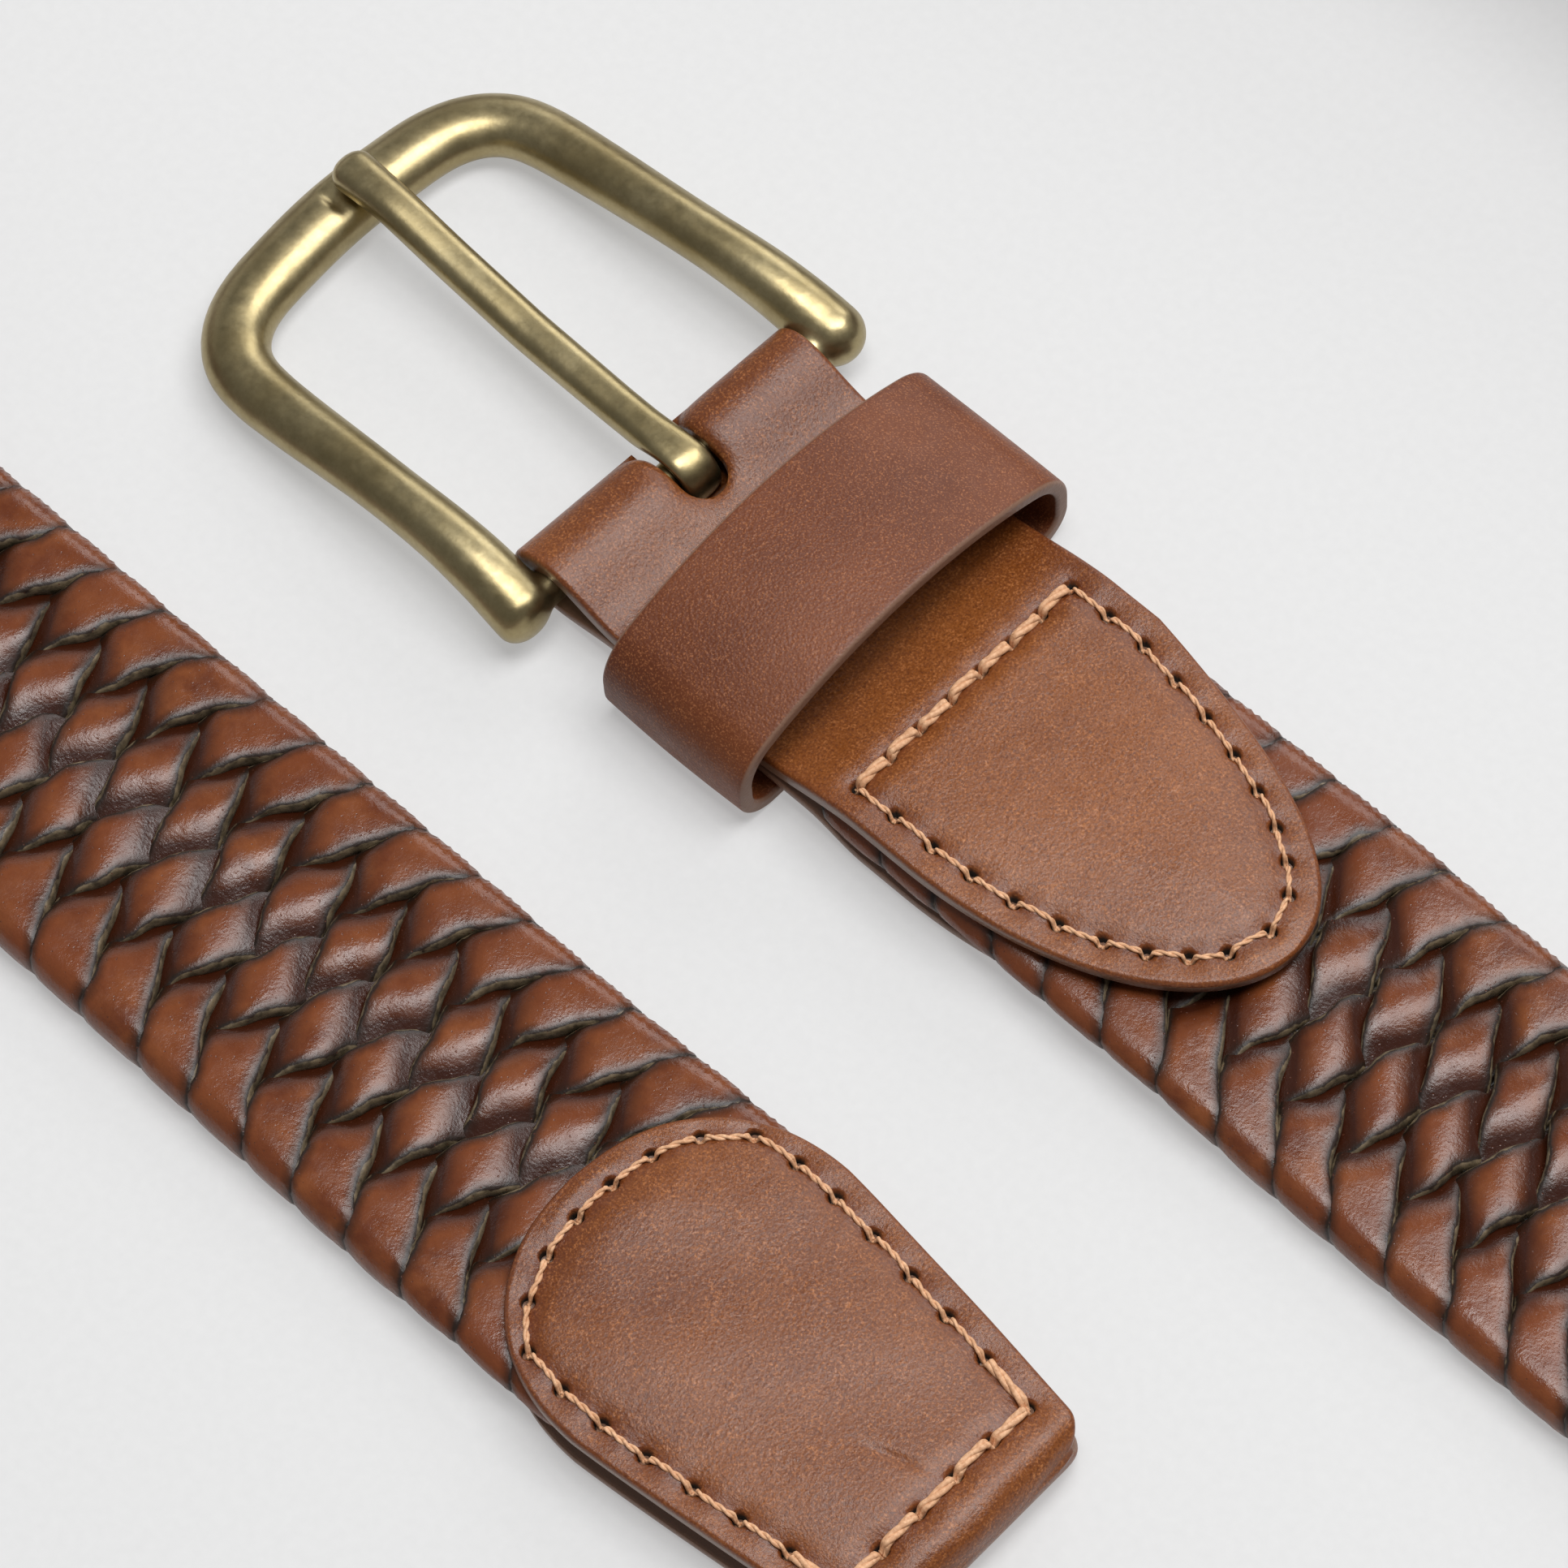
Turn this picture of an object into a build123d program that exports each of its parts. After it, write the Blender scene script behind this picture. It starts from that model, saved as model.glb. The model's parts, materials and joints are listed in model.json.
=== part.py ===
from build123d import *
import os
from math import cos, degrees, pi, radians, sin

# Braided leather belt, laid out on a table. Millimetres, +Z up, table at z = 0.
# The buckle strand and the tip strand lie flat side by side, face up. The rest of the
# strap rolls onto its edge and runs round behind the buckle in one open coil.
# Origin: on the table, at the middle of the laid-out belt.

# ---- driving dimensions ----
strap_width = 35.0
strap_thick = 4.8
leather = 1.6  # tab and keeper leather
stitch_height = 0.4  # thread standing proud of the leather
strand_gap = 59.5  # between the centrelines of the two flat strands

# strap route, distances along +X from the buckle bar
roll_start = 126.0  # the flat strand starts to roll onto its edge
roll_length = 80.0
roll_on_turn = 30.0  # last part of the roll lies on the turn
right_turn_radius = 53.0
left_turn_radius = right_turn_radius + strand_gap / 2
left_turn_x = -100.0  # centre of the left turn
tip_end = 94.5  # folded end of the tip tab

# buckle
bar_radius = 2.0
bar_reach = 19.0  # half the length of the heel bar
hinge_clearance = 0.06
bar_height = 4.4
knuckle_radius = 3.2
rail_width = 5.4
rail_thick = 5.0
outer_rail_x = 45.6  # bar axis to the middle of the outer rail
outer_rail_width = 7.2
outer_rail_thick = 5.4
arch_x = -11.0  # the side rails are highest here
arch_height = 6.1
frame_sections = 31
seat_height = 4.9  # floor of the prong seat in the outer rail
seat_y = 2.0

# prong
prong_width = 4.0
prong_y = 0.4
prong_thick = 3.2
prong_skew = 2.0  # degrees
prong_sections = 13
curl_radius = 3.5

# keeper
keeper_start = 11.0
keeper_length = 18.0
keeper_width = 43.8
keeper_height = 14.8
keeper_shoulder = 9.5  # height of the dome's springing at the two sides
keeper_y = 0.3
keeper_round = 6.0
keeper_foot_round = 4.0

# buckle tab
tab_half = 17.2
tab_apex = 77.0
braid_end = 34.0  # cut end of the plait inside the buckle tab
legs_bottom = 2.1  # underside of the closed legs, above the keeper
legs_start = 9.0  # the legs lie flat together from here
legs_end = 32.5  # to here, where they part round the plait
slot_width = 5.0
slot_end = 5.0

# tip tab
tip_tab_start = 44.5
tip_half = 17.6
tip_end_half = 13.6
tip_braid_end = 88.5

# ---- worked out from them ----
right_turn_x = roll_start + roll_length - roll_on_turn
back_length = right_turn_x - left_turn_x
fold_radius = bar_radius + hinge_clearance + leather
sewn_bottom = stitch_height  # underside of the sewn part of a tab
sewn_braid_low = sewn_bottom + leather
sewn_braid_high = 5.2
sewn_top = sewn_braid_high + leather
tip_braid_high = 5.0
tip_top = tip_braid_high + leather
half_thick = strap_thick / 2
bar_x = -(right_turn_x + right_turn_radius + left_turn_x - left_turn_radius) / 2
back_y = 2 * right_turn_radius
bar_y = -(back_y + half_thick - strand_gap - tip_half) / 2
tip_y = bar_y - strand_gap
shank_plane = Plane(
    origin=(bar_x, bar_y + prong_y, 0),
    x_dir=(cos(radians(prong_skew)), -sin(radians(prong_skew)), 0),
    z_dir=(-sin(radians(prong_skew)), -cos(radians(prong_skew)), 0),
)

right_turn_length = pi * right_turn_radius
left_turn_length = pi * left_turn_radius
turn_in = right_turn_x
turn_out = turn_in + right_turn_length
left_in = turn_out + back_length
left_out = left_in + left_turn_length
tip_roll_end = left_out + roll_length - roll_on_turn
strap_length = left_out + tip_end - left_turn_x

os.makedirs("parts", exist_ok=True)


def smooth(t):
    t = max(0.0, min(1.0, t))
    return t * t * (3 - 2 * t)


def strap_angle(s):
    """Degrees that the strap has rolled onto its edge, s along it from the bar."""
    onto = smooth((s - roll_start) / roll_length)
    back = smooth((tip_roll_end - s) / roll_length)
    return 90 * min(onto, back)


def strap_plane(s):
    """Section plane of the strap: x across it, y out of its face, z along it."""
    if s <= turn_in:
        x, y, heading = s, 0.0, 0.0
    elif s <= turn_out:
        heading = (s - turn_in) / right_turn_radius
        x = turn_in + right_turn_radius * sin(heading)
        y = right_turn_radius * (1 - cos(heading))
    elif s <= left_in:
        x, y, heading = turn_in - (s - turn_out), back_y, pi
    elif s <= left_out:
        turned = (s - left_in) / left_turn_radius
        heading = pi + turned
        x = left_turn_x - left_turn_radius * sin(turned)
        y = back_y - left_turn_radius * (1 - cos(turned))
    else:
        x, y, heading = left_turn_x + s - left_out, -strand_gap, 2 * pi
    roll = radians(strap_angle(s))
    height = strap_width / 2 * sin(roll) + half_thick * cos(roll)
    across = (-sin(heading) * cos(roll), cos(heading) * cos(roll), sin(roll))
    along = (cos(heading), sin(heading), 0)
    return Plane(origin=(bar_x + x, bar_y + y, height), x_dir=across, z_dir=along)


def side_plane(y):
    """Upright plane along the belt: x from the buckle bar, y up, facing -Y."""
    return Plane(origin=(bar_x, y, 0), x_dir=(1, 0, 0), z_dir=(0, -1, 0))


def plan_plane(y, height=0.0):
    return Plane(origin=(bar_x, y, height))


def save(part, name):
    part.label = name
    export_step(part, f"parts/{name}.step")


def straight_strap(start, length):
    with BuildPart() as run:
        with BuildSketch(strap_plane(start)):
            Rectangle(strap_width, strap_thick)
        extrude(amount=length)
    return run.part


def rolled_strap(start, sections=9):
    with BuildPart() as roll:
        for i in range(sections):
            with BuildSketch(strap_plane(start + roll_length * i / (sections - 1))):
                Rectangle(strap_width, strap_thick)
        loft(ruled=True)
    return roll.part


def turned_strap(start, radius, turn):
    """On-edge bend of turn degrees, starting at start along the strap."""
    plane = strap_plane(start)
    centre = plane.origin + Vector(0, 0, 1).cross(plane.z_dir) * radius
    with BuildPart() as bend:
        with BuildSketch(plane):
            Rectangle(strap_width, strap_thick)
        revolve(axis=Axis(centre, (0, 0, 1)), revolution_arc=turn)
    return bend.part


# ---- the plait, sewn end at the buckle to sewn end at the tip ----
with BuildPart() as braid_buckle_run:
    with BuildSketch(side_plane(bar_y)):
        with BuildLine():
            Polyline(
                (braid_end, sewn_braid_low),
                (tab_apex - 5, sewn_braid_low),
                (tab_apex + 11, 0),
                (roll_start, 0),
                (roll_start, strap_thick),
                (tab_apex + 13, strap_thick),
                (tab_apex - 1, sewn_braid_high),
                (braid_end, sewn_braid_high),
                close=True,
            )
        make_face()
    extrude(amount=strap_width / 2 - 0.3, both=True)
save(braid_buckle_run.part, "braid_buckle_run")

save(rolled_strap(roll_start), "braid_right_roll")

turn_pieces = 3
right_roll_turn = degrees(roll_on_turn / right_turn_radius)
right_piece = (180 - right_roll_turn) / turn_pieces
left_roll_turn = degrees(roll_on_turn / left_turn_radius)
left_piece = (180 - left_roll_turn) / turn_pieces
for i in range(turn_pieces):
    right_start = roll_start + roll_length + radians(right_piece) * right_turn_radius * i
    save(
        turned_strap(right_start, right_turn_radius, right_piece),
        f"braid_right_turn_{i + 1}",
    )
    left_start = left_in + radians(left_piece) * left_turn_radius * i
    save(
        turned_strap(left_start, left_turn_radius, left_piece),
        f"braid_left_turn_{i + 1}",
    )

save(straight_strap(turn_out, back_length), "braid_back_run")
save(rolled_strap(tip_roll_end - roll_length), "braid_left_roll")

tip_flat_start = left_turn_x + roll_length - roll_on_turn
with BuildPart() as braid_tip_run:
    with BuildSketch(side_plane(tip_y)):
        with BuildLine():
            Polyline(
                (tip_flat_start, 0),
                (tip_tab_start - 10, 0),
                (tip_tab_start + 4, sewn_braid_low),
                (tip_braid_end, sewn_braid_low),
                (tip_braid_end, tip_braid_high),
                (tip_tab_start + 4, tip_braid_high),
                (tip_tab_start - 6, strap_thick),
                (tip_flat_start, strap_thick),
                close=True,
            )
        make_face()
    extrude(amount=strap_width / 2 - 0.3, both=True)
    # the plait is pared narrower inside the tapering tab
    with BuildSketch(plan_plane(tip_y)):
        with BuildLine():
            Polyline(
                (tip_flat_start, -strap_width / 2),
                (tip_tab_start + 10, -strap_width / 2),
                (tip_braid_end, -tip_end_half + 1.5),
                (tip_braid_end, tip_end_half - 1.5),
                (tip_tab_start + 10, strap_width / 2),
                (tip_flat_start, strap_width / 2),
                close=True,
            )
        make_face()
    extrude(amount=10, mode=Mode.INTERSECT)
save(braid_tip_run.part, "braid_tip_run")


# ---- buckle frame: one casting with its heel bar ----
def rod_plane(path, at):
    """Plane square to a path that runs near the level, x kept level."""
    heading = path % at
    return Plane(origin=path @ at, x_dir=Vector(0, 0, 1).cross(heading), z_dir=heading)


def rail_height(x):
    """The side rails arch up between the knuckles and the outer rail."""
    if x > arch_x:
        return bar_height + (arch_height - bar_height) * smooth(x / arch_x)
    fall = smooth((x - arch_x) / (-outer_rail_x - arch_x))
    return arch_height + (outer_rail_thick / 2 - arch_height) * fall


half_rail = [(0, 20.7), (-10, 20.2), (-24, 19.8), (-34.5, 19.5), (-40.3, 18.2), (-43.5, 14.8), (-45.1, 8)]
rail_route = half_rail + [(-outer_rail_x, 0)] + [(x, -y) for x, y in reversed(half_rail)]
with BuildLine(plan_plane(bar_y)) as rail_path:
    Spline(*[(x, y, rail_height(x)) for x, y in rail_route])
rail = rail_path.edges()[0]

with BuildPart() as buckle_frame:
    for i in range(frame_sections):
        at = i / (frame_sections - 1)
        toward_outer = smooth(2.2 * min(at, 1 - at) - 0.1)
        near_knuckle = 1 - smooth(6 * min(at, 1 - at))
        width = rail_width + (outer_rail_width - rail_width) * toward_outer
        thick = rail_thick + (outer_rail_thick - rail_thick) * toward_outer
        swell = (2 * knuckle_radius - rail_width) * near_knuckle
        with BuildSketch(rod_plane(rail, at)):
            Ellipse((width + swell) / 2, (thick + swell) / 2)
    loft()
    with Locations(rail @ 0, rail @ 1):
        Sphere(knuckle_radius)
    # heel bar
    with BuildSketch(Plane(origin=(bar_x, bar_y - bar_reach, bar_height), z_dir=(0, 1, 0))):
        Circle(bar_radius)
    extrude(amount=2 * bar_reach)
    # seat for the prong in the outer rail
    with BuildSketch(plan_plane(bar_y + seat_y, seat_height)):
        with Locations((-outer_rail_x, 0)):
            Rectangle(3 * outer_rail_width, prong_width + 1.4)
    extrude(amount=8, mode=Mode.SUBTRACT)
save(buckle_frame.part, "buckle_frame")


# ---- prong: curled round the bar, resting in the seat ----
with BuildLine(shank_plane) as prong_line:
    Spline(
        (-0.5, bar_height + curl_radius - prong_thick / 2),
        (-9, 5.8),
        (-21, 5.4),
        (-32, 6.2),
        (-40, 7.2),
        (-45, seat_height + 0.4 + prong_thick / 2),
        (-47.4, 6.5),
    )
shank = prong_line.edges()[0]
with BuildPart() as prong:
    for i in range(prong_sections):
        at = i / (prong_sections - 1)
        tip = smooth(4 * at - 3)
        with BuildSketch(rod_plane(shank, at)):
            Ellipse(prong_width / 2 + 0.3 * tip, prong_thick / 2 - 0.25 * tip)
    loft()
    with BuildSketch(side_plane(bar_y + prong_y)):
        with Locations((0, bar_height)):
            Circle(curl_radius)
    extrude(amount=prong_width / 2, both=True)
    with BuildSketch(side_plane(bar_y + prong_y)):
        with Locations((0, bar_height)):
            Circle(bar_radius + hinge_clearance)
    extrude(amount=prong_width, both=True, mode=Mode.SUBTRACT)
save(prong.part, "prong")


# ---- buckle tab: one piece of leather folded round the bar ----
with BuildPart() as buckle_tab:
    with BuildSketch(side_plane(bar_y)):
        with BuildLine():
            fold = CenterArc((0, bar_height), fold_radius, 90, 180)
            Spline(
                fold @ 0,
                (legs_start, legs_bottom + 2 * leather),
                tangents=((1, 0), (1, 0)),
            )
            Spline(
                fold @ 1,
                (legs_start, legs_bottom),
                tangents=((1, 0), (1, 0)),
            )
            Line((legs_start, legs_bottom), (legs_end, legs_bottom))
            Line(
                (legs_start, legs_bottom + 2 * leather),
                (legs_end, legs_bottom + 2 * leather),
            )
            upper = Spline(
                (legs_end, legs_bottom + 2 * leather),
                (legs_end + 7, sewn_top),
                tangents=((1, 0), (1, 0)),
            )
            lower = Spline(
                (legs_end, legs_bottom),
                (legs_end + 7, sewn_bottom),
                tangents=((1, 0), (1, 0)),
            )
            Polyline(
                upper @ 1,
                (tab_apex, sewn_top),
                (tab_apex, sewn_bottom),
                lower @ 1,
            )
        make_face()
    extrude(amount=tab_half, both=True)
    with BuildSketch(plan_plane(bar_y)):
        with BuildLine():
            Polyline((50, -tab_half), (-10, -tab_half), (-10, tab_half), (50, tab_half))
            Spline(
                (50, tab_half),
                (61, 14.8),
                (70, 10.0),
                (75.2, 5.0),
                (tab_apex, 0),
                (75.2, -5.0),
                (70, -10.0),
                (61, -14.8),
                (50, -tab_half),
                tangents=((1, 0), (-1, 0)),
            )
        make_face()
    extrude(amount=20, mode=Mode.INTERSECT)
    # eye round the bar, closing to a point where the two legs meet
    with BuildSketch(side_plane(bar_y)):
        with Locations((0, bar_height)):
            Circle(bar_radius + hinge_clearance)
        with BuildLine():
            Polyline(
                (0, bar_height + bar_radius),
                (7.5, legs_bottom + leather),
                (0, bar_height - bar_radius),
                close=True,
            )
        make_face()
    extrude(amount=30, both=True, mode=Mode.SUBTRACT)
    add(braid_buckle_run.part, mode=Mode.SUBTRACT)
    with BuildSketch(plan_plane(bar_y + prong_y)):
        Rectangle(2 * (slot_end - slot_width / 2), slot_width)
        with Locations((slot_end - slot_width / 2, 0)):
            Circle(slot_width / 2)
        with Locations((-slot_end, 0)):
            Rectangle(2 * slot_end, slot_width)
    extrude(amount=20, mode=Mode.SUBTRACT)
save(buckle_tab.part, "buckle_tab")


# ---- keeper: a closed leather band, its ends butted under the tab and stapled ----
staple_wire = 0.6
staple_span = 8.0
staple_sites = [(keeper_start + keeper_length * f, keeper_y) for f in (0.28, 0.72)]


# staple crowns are let into the inner face, with legs down through the leather
with BuildPart() as keeper_staples:
    with BuildSketch(plan_plane(bar_y, leather - staple_wire)):
        with Locations(*staple_sites):
            Rectangle(staple_wire, staple_span)
    extrude(amount=staple_wire)
    with BuildSketch(plan_plane(bar_y, 0.3)):
        with Locations(*staple_sites):
            with GridLocations(1, staple_span - staple_wire, 1, 2):
                Rectangle(staple_wire, staple_wire)
    extrude(amount=leather - staple_wire - 0.3)
save(keeper_staples.part, "keeper_staples")

with BuildPart() as keeper_band:
    across_plane = Plane(
        origin=(bar_x + keeper_start, bar_y + keeper_y, 0),
        x_dir=(0, 1, 0),
        z_dir=(1, 0, 0),
    )
    with BuildSketch(across_plane):
        with BuildLine():
            ThreePointArc(
                (-keeper_width / 2, keeper_shoulder),
                (0, keeper_height),
                (keeper_width / 2, keeper_shoulder),
            )
            Polyline(
                (-keeper_width / 2, keeper_shoulder),
                (-keeper_width / 2, 0),
                (keeper_width / 2, 0),
                (keeper_width / 2, keeper_shoulder),
            )
        make_face()
        fillet(vertices().group_by(Axis.Y)[0], keeper_foot_round)
        fillet(vertices().group_by(Axis.Y)[-1], keeper_round)
        offset(amount=-leather, mode=Mode.SUBTRACT)
        Rectangle(0.2, 3 * leather, mode=Mode.SUBTRACT)
    extrude(amount=keeper_length)
    add(keeper_staples.part, mode=Mode.SUBTRACT)
save(keeper_band.part, "keeper_band")


# ---- tip tab: one piece of leather folded over the free end of the plait ----
fold_centre = (tip_top + sewn_bottom) / 2
end_fold = (tip_top - sewn_bottom) / 2
with BuildPart() as tip_tab:
    with BuildSketch(side_plane(tip_y)):
        with BuildLine():
            end_arc = CenterArc((tip_end - end_fold, fold_centre), end_fold, -90, 180)
            Polyline(
                end_arc @ 1,
                (tip_tab_start, tip_top),
                (tip_tab_start, sewn_bottom),
                end_arc @ 0,
            )
        make_face()
    extrude(amount=strap_width, both=True)
    with BuildSketch(plan_plane(tip_y)):
        with BuildLine():
            Polyline(
                (62, tip_half - 0.1),
                (tip_end, tip_end_half),
                (tip_end, -tip_end_half),
                (62, 0.1 - tip_half),
            )
            Spline(
                (62, 0.1 - tip_half),
                (55, -16.7),
                (49.5, -13.5),
                (45.8, -7.5),
                (tip_tab_start, 0),
                (45.8, 7.5),
                (49.5, 13.5),
                (55, 16.7),
                (62, tip_half - 0.1),
                tangents=((-1, 0), (1, 0)),
            )
        make_face()
    extrude(amount=20, mode=Mode.INTERSECT)
    # the pocket that holds the end of the plait
    with BuildSketch(side_plane(tip_y)):
        with Locations((tip_end - end_fold, fold_centre)):
            Circle((tip_braid_high - sewn_braid_low) / 2)
        with BuildLine():
            Polyline(
                (tip_braid_end - 1, sewn_braid_low),
                (tip_end - end_fold, sewn_braid_low),
                (tip_end - end_fold, tip_braid_high),
                (tip_braid_end - 1, tip_braid_high),
                close=True,
            )
        make_face()
    extrude(amount=30, both=True, mode=Mode.SUBTRACT)
    add(braid_tip_run.part, mode=Mode.SUBTRACT)
save(tip_tab.part, "tip_tab")


# ---- stitching: each thread is a group of separate stitches ----
def stitches(corners, y, height, pitch, name):
    """One row of stitches along a closed or open run of straight and curved lines."""
    with BuildLine(plan_plane(y, height)) as row:
        for points in corners:
            if len(points) == 2:
                Line(*points)
            else:
                Spline(*points)
    spots = []
    for edge in row.edges():
        count = max(1, round(edge.length / pitch))
        for i in range(count):
            at = (i + 0.5) / count
            heading = edge.tangent_at(at)
            spots.append(Location(Plane(origin=edge.position_at(at), x_dir=heading, z_dir=(0, 0, 1))))
    with BuildPart() as thread:
        with Locations(*spots):
            Box(
                pitch * 0.72,
                2 * stitch_height,
                stitch_height,
                align=(Align.CENTER, Align.CENTER, Align.MIN),
            )
    save(thread.part, name)


seam_x = 36.4
buckle_seam = [
    [(seam_x, -13.9), (seam_x, 13.9)],
    [(seam_x, 13.9), (52, 14.3), (63, 10.7), (70, 5.0), (73.6, 0)],
    [(73.6, 0), (70, -5.0), (63, -10.7), (52, -14.3), (seam_x, -13.9)],
]
tip_seam = [
    [(89.8, 11.2), (89.8, -11.2)],
    [(89.8, 11.2), (70, 13.6), (59, 14.2), (51.0, 9.8), (48.0, 0)],
    [(48.0, 0), (51.0, -9.8), (59, -14.2), (70, -13.6), (89.8, -11.2)],
]
side_pitch = 4.7
stitches(buckle_seam, bar_y, sewn_top, side_pitch, "buckle_tab_needle_thread")
stitches(buckle_seam, bar_y, 0, side_pitch, "buckle_tab_bobbin_thread")
stitches(tip_seam, tip_y, tip_top, side_pitch, "tip_tab_needle_thread")
stitches(tip_seam, tip_y, 0, side_pitch, "tip_tab_bobbin_thread")

print(f"strap length from the bar to the tip {strap_length:.1f} mm")
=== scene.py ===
import json
from math import atan2, cos, pi, radians, sin, sqrt
import bpy
import numpy as np
from mathutils import Matrix, Vector
from mathutils.bvhtree import BVHTree


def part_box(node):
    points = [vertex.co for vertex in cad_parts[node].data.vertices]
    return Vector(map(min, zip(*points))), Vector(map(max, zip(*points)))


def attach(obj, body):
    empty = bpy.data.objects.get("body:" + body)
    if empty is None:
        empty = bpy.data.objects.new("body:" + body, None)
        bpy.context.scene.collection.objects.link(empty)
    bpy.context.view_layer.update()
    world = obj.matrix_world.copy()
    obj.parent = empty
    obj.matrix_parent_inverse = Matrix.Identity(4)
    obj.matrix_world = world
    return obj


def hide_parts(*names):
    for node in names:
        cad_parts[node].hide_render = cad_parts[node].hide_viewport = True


# A plaited leather belt with a brass prong buckle, laid out on a pale table.
# Lengths here are millimetres from the foot of the buckle's bar: x along the flat
# strands, y across them, z up from the table. to_row() turns them into the frame's metres.

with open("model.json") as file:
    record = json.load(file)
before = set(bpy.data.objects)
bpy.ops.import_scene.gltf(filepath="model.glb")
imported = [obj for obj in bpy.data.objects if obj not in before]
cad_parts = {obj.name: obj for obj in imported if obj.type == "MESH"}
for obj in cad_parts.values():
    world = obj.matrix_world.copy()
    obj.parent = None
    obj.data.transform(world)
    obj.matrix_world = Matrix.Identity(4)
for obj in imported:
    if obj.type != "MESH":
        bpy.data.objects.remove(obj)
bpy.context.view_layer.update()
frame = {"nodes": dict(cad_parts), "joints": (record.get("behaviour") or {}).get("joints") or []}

MM = 0.001
bar_joint = next(j for j in frame["joints"] if j["name"] == "buckle_hinge")
BAR_FOOT = np.array([bar_joint["pos_m"][0], bar_joint["pos_m"][1], 0.0])
BAR_Z = bar_joint["pos_m"][2] / MM


def node_box(node):
    """Low and high corner of a CAD node, in millimetres from the bar's foot."""
    low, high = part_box(node)
    return (np.array(low) - BAR_FOOT) / MM, (np.array(high) - BAR_FOOT) / MM


def to_row(points):
    """Millimetres from the bar's foot, as the frame's metres."""
    return np.asarray(points, float) * MM + BAR_FOOT


# ---- sizes read from the frame ----
run_low, run_high = node_box("braid_buckle_run")
back_low, back_high = node_box("braid_back_run")
tip_low, tip_high = node_box("braid_tip_run")
tab_low, tab_high = node_box("buckle_tab")
tip_tab_low, tip_tab_high = node_box("tip_tab")
keeper_low, keeper_high = node_box("keeper_band")

BRAID_START = run_low[0]
ROLL_START = run_high[0]
TURN_RIGHT_X, TURN_LEFT_X = back_high[0], back_low[0]
BACK_Y = (back_low[1] + back_high[1]) / 2
STRAP_THICK = back_high[1] - back_low[1]
STRAP_WIDTH = back_high[2] - back_low[2]
TIP_Y = (tip_low[1] + tip_high[1]) / 2
BRAID_END_X = tip_high[0]
ROLL_ON_TURN = 30.0
ROLL_LENGTH = TURN_RIGHT_X - ROLL_START + ROLL_ON_TURN
RADIUS_RIGHT = BACK_Y / 2
RADIUS_LEFT = (BACK_Y - TIP_Y) / 2


# ---- mesh helpers ----
def new_object(name, points, faces, body, smooth=True, attributes=None):
    """A mesh that rides on a body; attributes hold one number for each point."""
    mesh = bpy.data.meshes.new(name)
    mesh.from_pydata([tuple(p) for p in to_row(points)], [], [tuple(map(int, f)) for f in faces])
    for key, values in (attributes or {}).items():
        layer = mesh.attributes.new(key, "FLOAT", "POINT")
        layer.data.foreach_set("value", np.asarray(values, np.float32))
    mesh.polygons.foreach_set("use_smooth", [smooth] * len(mesh.polygons))
    mesh.update()
    obj = bpy.data.objects.new(name, mesh)
    bpy.context.scene.collection.objects.link(obj)
    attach(obj, body)
    return obj


def keep_shape(piece):
    """Turn a piece's modifiers into its mesh, and return the mesh."""
    graph = bpy.context.evaluated_depsgraph_get()
    mesh = bpy.data.meshes.new_from_object(piece.evaluated_get(graph))
    piece.modifiers.clear()
    piece.data = mesh
    return mesh


def tube_faces(rings, size):
    """Quads that join rings of size points each, with the end rings filled."""
    i = np.arange(rings - 1)[:, None] * size
    j = np.arange(size)[None, :]
    k = (j + 1) % size
    quads = np.stack([i + j, i + k, i + size + k, i + size + j], -1).reshape(-1, 4)
    faces = [tuple(q) for q in quads]
    faces.append(tuple(range(size - 1, -1, -1)))
    faces.append(tuple((rings - 1) * size + np.arange(size)))
    return faces


def smooth_step(t):
    """0 to 1, with a gentle start and end."""
    t = np.clip(t, 0.0, 1.0)
    return t * t * (3 - 2 * t)


def blend_step(x, start, end):
    """0 at start, 1 at end."""
    return smooth_step((x - start) / (end - start))


# ---- camera ----
CAMERA_TARGET = (28.4, -15.8, 0.0)
CAMERA_AZIMUTH = -41.45
CAMERA_ELEVATION = 61.25
CAMERA_ROLL = -5.31
CAMERA_DISTANCE = 629.2
CAMERA_LENS = 157.2


def make_camera():
    """Looks down on the buckle from its -Y side, a little rolled."""
    azimuth, elevation, roll = map(radians, (CAMERA_AZIMUTH, CAMERA_ELEVATION, CAMERA_ROLL))
    back = Vector((cos(elevation) * cos(azimuth), cos(elevation) * sin(azimuth), sin(elevation)))
    level = (-back).cross(Vector((0, 0, 1))).normalized()
    rise = level.cross(-back)
    right = cos(roll) * level + sin(roll) * rise
    up = -sin(roll) * level + cos(roll) * rise
    data = bpy.data.cameras.new("camera")
    data.lens = CAMERA_LENS
    data.sensor_width = 36.0
    data.clip_start = 0.01
    camera = bpy.data.objects.new("camera", data)
    place = Vector(to_row(CAMERA_TARGET)) + back * CAMERA_DISTANCE * MM
    turn = Matrix((right, up, back)).transposed().to_4x4()
    camera.matrix_world = Matrix.Translation(place) @ turn
    bpy.context.scene.collection.objects.link(camera)
    bpy.context.scene.camera = camera


make_camera()

# ---- the strap's route ----
TURN_IN = TURN_RIGHT_X
TURN_OUT = TURN_IN + pi * RADIUS_RIGHT
LEFT_IN = TURN_OUT + TURN_RIGHT_X - TURN_LEFT_X
LEFT_OUT = LEFT_IN + pi * RADIUS_LEFT
TIP_ROLL_END = LEFT_OUT + ROLL_LENGTH - ROLL_ON_TURN
BRAID_LENGTH = LEFT_OUT + BRAID_END_X - TURN_LEFT_X


def tip_s(x):
    """Distance along the strap of a place x on the tip strand."""
    return LEFT_OUT + x - TURN_LEFT_X


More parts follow.
